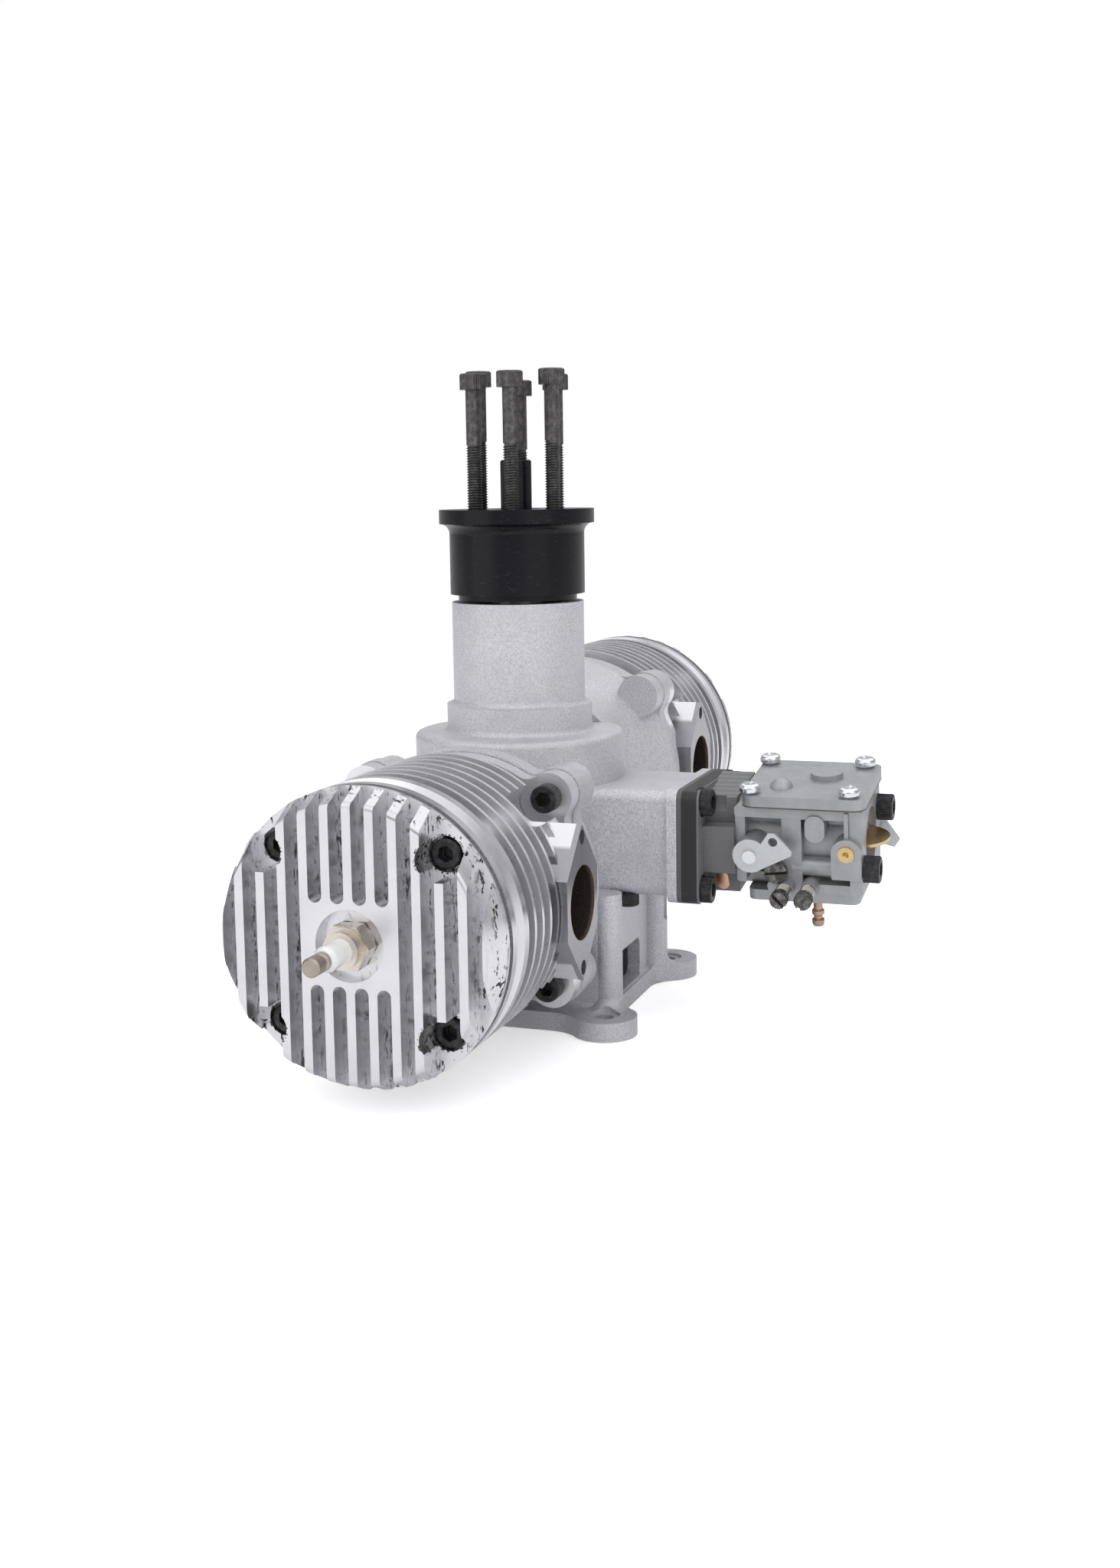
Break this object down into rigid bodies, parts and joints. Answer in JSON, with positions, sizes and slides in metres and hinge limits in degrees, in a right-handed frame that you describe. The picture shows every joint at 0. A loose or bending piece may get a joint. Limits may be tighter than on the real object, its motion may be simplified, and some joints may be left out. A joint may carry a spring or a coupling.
{
  "type": "flat aircraft engine",
  "caption": "Flat two-stroke aircraft engine with finned opposed cylinders, side carburettor and propeller hub.",
  "frame": {"origin": "on the crankshaft axis, at the underside of the four mounting lugs", "axes": "+Z along the crankshaft towards the propeller; the cylinders lie along Y, the carburettor and exhausts face +X"},
  "size_m": [0.2044, 0.3696, 0.245],
  "materials": {
    "crankcase": "sand-blasted casting",
    "cylinder": "machined",
    "head": "bright machined",
    "copper_seal": "copper sheet",
    "paper_seal": "gasket paper",
    "black_screw": "black-oxide steel",
    "black_hub": "black anodised, semi-gloss",
    "bolt_steel": "black-oxide steel, brown tint",
    "steel": "ground steel",
    "rubber_seal": "moulded rubber",
    "insulator": "phenolic, milled",
    "reed": "moulded",
    "petal": "glass-epoxy sheet",
    "carburettor": "die-cast",
    "zinc": "zinc plated",
    "brass": "turned",
    "porcelain": "glazed ceramic",
    "nickel": "nickel plated, heat tinted",
    "terminal": "plated, tarnished",
    "piston": "turned",
    "spring": "wire"
  },
  "bodies": {
    "engine_case": {"crankcase_front": "crankcase", "crankcase_rear": "crankcase", "crankcase_screws": "black_screw", "rear_bearing_outer": "steel", "front_bearing_outer": "steel", "nose_bearing_outer": "steel", "oil_seal": "rubber_seal", "cylinder_near": "cylinder", "cylinder_far": "cylinder", "base_gaskets": "paper_seal", "head_gaskets": "copper_seal", "base_screws": "black_screw", "head_screws": "black_screw", "cylinder_head_near": "head", "cylinder_head_far": "head", "plug_shells": "nickel", "plug_insulators": "porcelain", "plug_terminals": "terminal", "reed_cage": "reed", "reed_petals": "petal", "insulator_block": "insulator", "intake_screws": "black_screw", "carburettor_body": "carburettor", "cover_gasket": "paper_seal", "diaphragm_cover": "carburettor", "cover_screws": "zinc", "pump_cover": "carburettor", "carburettor_screws": "black_screw", "fuel_nipple": "brass", "brass_plug": "brass", "needle_springs": "spring"},
    "crankshaft": {"crank_front_shaft": "steel", "crank_middle_web": "steel", "crank_rear_shaft": "steel", "rear_bearing_inner": "steel", "front_bearing_inner": "steel", "nose_bearing_inner": "steel", "propeller_hub": "black_hub", "propeller_bolts": "bolt_steel", "centring_sleeve": "black_hub"},
    "piston_set_near": {"piston_near": "piston", "piston_rings_near": "steel", "wrist_pin_near": "steel", "connecting_rod_near": "steel", "crankpin_near": "steel"},
    "piston_set_far": {"piston_far": "piston", "piston_rings_far": "steel", "wrist_pin_far": "steel", "connecting_rod_far": "steel", "crankpin_far": "steel"},
    "throttle": {"throttle_shaft": "zinc", "throttle_lever": "zinc", "throttle_plate": "brass"},
    "choke": {"choke_shaft": "zinc", "choke_lever": "zinc", "choke_plate": "brass"},
    "idle_screw": {"idle_speed_screw": "bolt_steel"},
    "low_needle": {"low_speed_needle": "bolt_steel"},
    "high_needle": {"high_speed_needle": "bolt_steel"}
  },
  "joints": [
    {"name": "crankshaft_spin", "type": "hinge", "parent": "engine_case", "child": "crankshaft", "pos_m": [0, 0, 0.07], "axis": [0, 0, 1], "continuous": true},
    {"name": "piston_near_stroke", "type": "slide", "parent": "engine_case", "child": "piston_set_near", "axis": [0, 1, 0], "range_m": [0, 0.044]},
    {"name": "piston_far_stroke", "type": "slide", "parent": "engine_case", "child": "piston_set_far", "axis": [0, -1, 0], "range_m": [0, 0.044]},
    {"name": "throttle_turn", "type": "hinge", "parent": "engine_case", "child": "throttle", "pos_m": [0.098, 0, 0.07], "axis": [0, -0.9877, -0.1564], "range_deg": [0, 75]},
    {"name": "choke_turn", "type": "hinge", "parent": "engine_case", "child": "choke", "pos_m": [0.1335, 0, 0.07], "axis": [0, 0.9877, 0.1564], "range_deg": [0, 80]},
    {"name": "idle_screw_turn", "type": "hinge", "parent": "engine_case", "child": "idle_screw", "pos_m": [0.1066, -0.02063, 0.05964], "axis": [0, 0.9877, 0.1564], "range_deg": [-360, 360]},
    {"name": "low_needle_turn", "type": "hinge", "parent": "engine_case", "child": "low_needle", "pos_m": [0.1098, -0.02159, 0.05291], "axis": [0, 0.9877, 0.1564], "range_deg": [-540, 540]},
    {"name": "high_needle_turn", "type": "hinge", "parent": "engine_case", "child": "high_needle", "pos_m": [0.1186, -0.02159, 0.05291], "axis": [0, 0.9877, 0.1564], "range_deg": [-540, 540]}
  ],
  "couplings": [
    {"joint": "piston_far_stroke", "follows": "piston_near_stroke", "ratio": 1}
  ]
}
